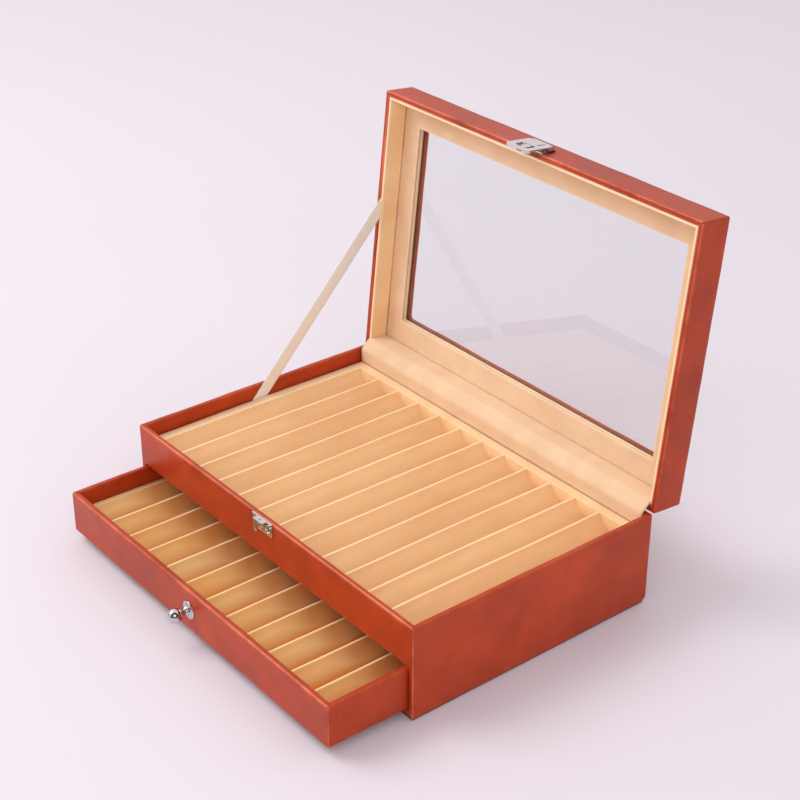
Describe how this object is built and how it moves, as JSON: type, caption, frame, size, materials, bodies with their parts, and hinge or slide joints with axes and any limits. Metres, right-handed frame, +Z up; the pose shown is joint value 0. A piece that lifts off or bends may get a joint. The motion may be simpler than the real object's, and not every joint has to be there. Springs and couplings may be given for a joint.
{
  "type": "pen display chest",
  "caption": "Leather-covered pen display chest with a glazed lid, a slotted suede tray below it, a slotted drawer with a knob, a ribbon stay and a front latch.",
  "frame": {"origin": "on the table, under the middle of the space inside the case's walls", "axes": "+Z up, -Y out of the front towards the drawer's knob, +X to the right of someone facing the front"},
  "size_m": [0.32, 0.3366, 0.2848],
  "materials": {
    "leather": "smooth satin grained",
    "base_cover": "matt",
    "suede": "short flock",
    "panel_suede": "short flock",
    "felt": "felt",
    "ribbon": "satin",
    "glass": "clear",
    "chrome": "polished",
    "steel": "satin"
  },
  "bodies": {
    "case": {"base_board": "base_cover", "case_floor": "leather", "case_left_wall": "leather", "case_right_wall": "leather", "case_back_wall": "leather", "case_front_rail": "leather", "drawer_shelf": "leather", "tray_insert": "suede", "back_lining": "suede", "hinge_strip": "suede", "stay_ribbon": "ribbon", "case_hinge_leaf_left": "steel", "case_hinge_leaf_right": "steel", "case_hinge_screws": "steel", "hinge_pin_left": "steel", "hinge_pin_right": "steel", "catch_bracket": "chrome", "catch_stud": "chrome", "catch_rivets": "steel"},
    "lid": {"lid_left_wall": "leather", "lid_right_wall": "leather", "lid_front_wall": "leather", "lid_back_wall": "leather", "lid_top_frame": "leather", "lid_liner_left": "suede", "lid_liner_right": "suede", "lid_liner_front": "suede", "lid_liner_back": "suede", "lid_inner_panel": "panel_suede", "glazing_frame": "panel_suede", "glass_pane": "glass", "lid_hinge_lining": "suede", "lid_hinge_leaf_left": "steel", "lid_hinge_leaf_right": "steel", "lid_hinge_screws": "steel", "latch_bracket": "chrome", "latch_pin": "steel", "latch_rivets": "steel"},
    "latch_flap": {"latch_flap": "chrome"},
    "drawer": {"drawer_front": "leather", "drawer_left_side": "leather", "drawer_right_side": "leather", "drawer_back": "leather", "drawer_bottom": "leather", "drawer_insert": "suede", "drawer_glides": "felt", "knob": "chrome", "knob_rose": "chrome", "knob_screw": "steel"}
  },
  "joints": [
    {"name": "lid_hinge", "type": "hinge", "parent": "case", "child": "lid", "pos_m": [0, 0.105, 0.0712], "axis": [1, 0, 0], "range_deg": [0, 96], "deforming": ["stay_ribbon", "hinge_strip"]},
    {"name": "latch_turn", "type": "hinge", "parent": "lid", "child": "latch_flap", "pos_m": [0, 0.13947, 0.28054], "axis": [-1, 0, 0], "range_deg": [0, 110]},
    {"name": "drawer_slide", "type": "slide", "parent": "case", "child": "drawer", "axis": [0, 1, 0], "range_m": [-0.078, 0.062]}
  ]
}
